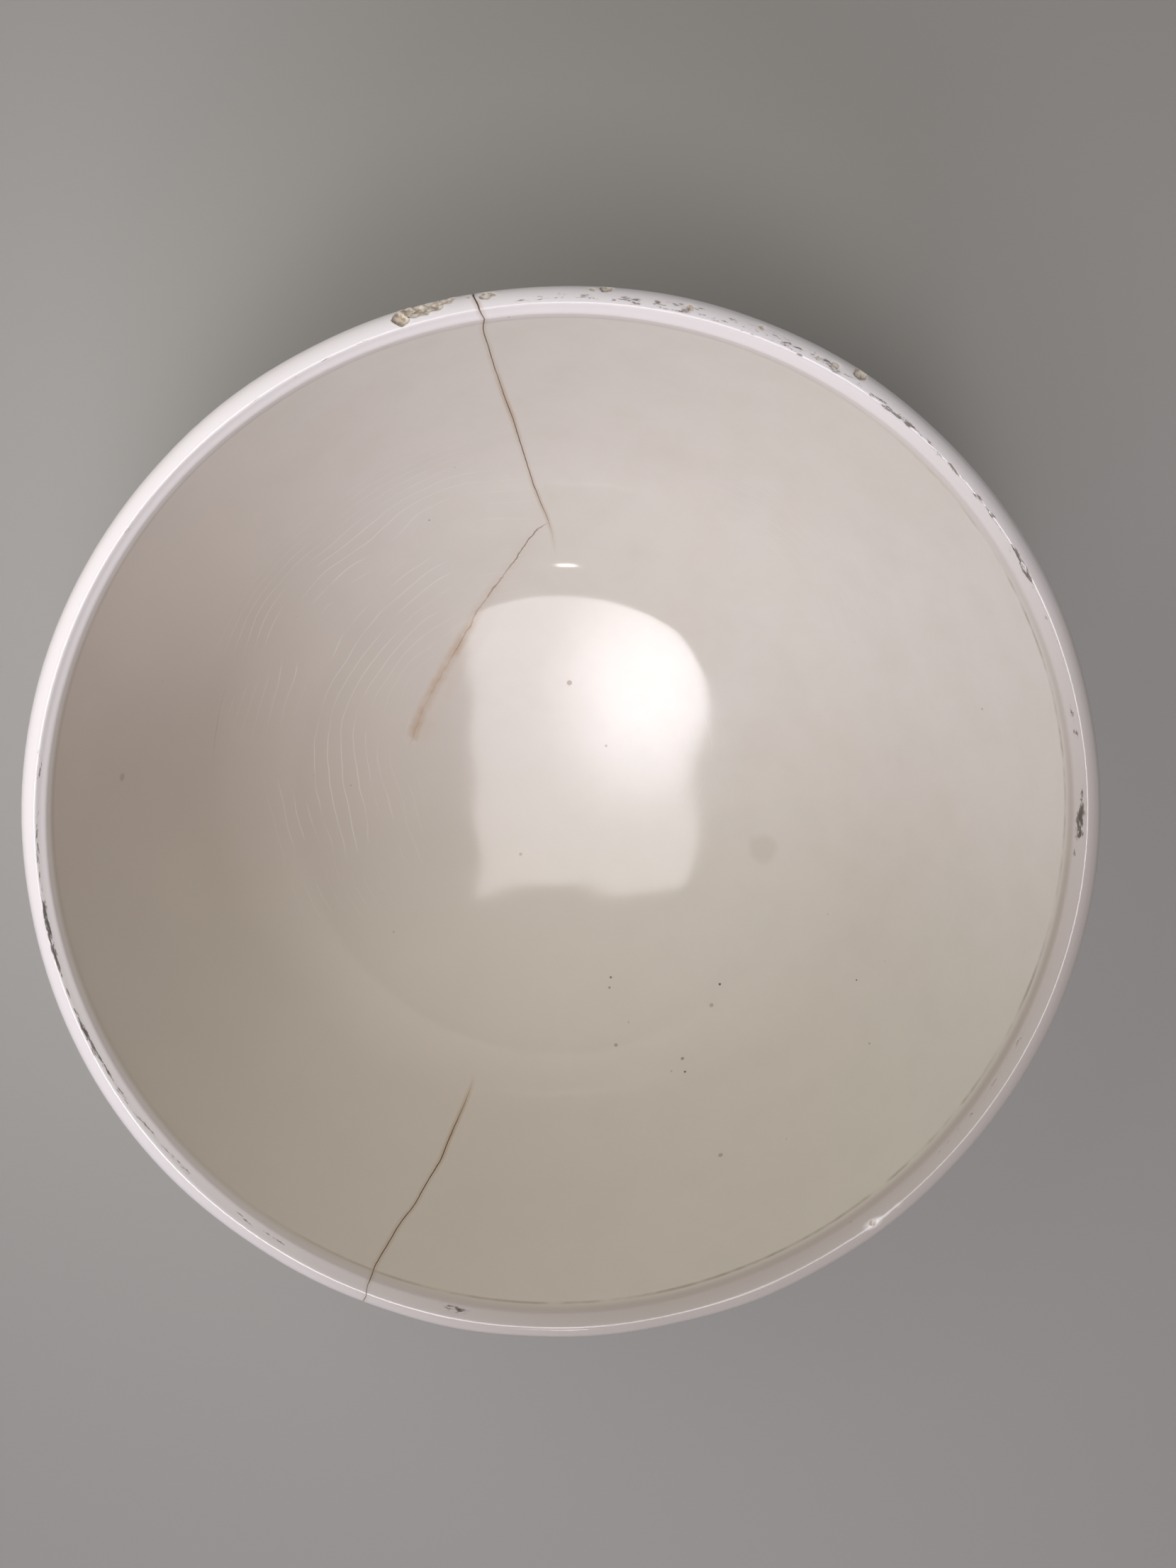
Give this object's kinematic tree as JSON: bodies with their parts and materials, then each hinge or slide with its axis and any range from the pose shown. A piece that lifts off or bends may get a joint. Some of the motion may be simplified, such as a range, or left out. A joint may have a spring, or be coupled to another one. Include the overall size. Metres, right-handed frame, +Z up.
{
  "type": "ceramic bowl",
  "caption": "Deep round bowl of glazed white earthenware with a rolled, bevelled rim and a foot ring, for mixing, grinding or holding loose material.",
  "frame": {"origin": "middle of the foot ring, on the surface that the bowl stands on", "axes": "+Z up along the bowl's axis, out of its mouth; the long scar and the notch in the rim lie between 12 and 18 degrees from +Y, towards -X"},
  "size_m": [0.24, 0.24, 0.12],
  "materials": {
    "glaze": "glossy cream-white glaze"
  },
  "bodies": {
    "root": {"bowl": "glaze"}
  },
  "joints": []
}
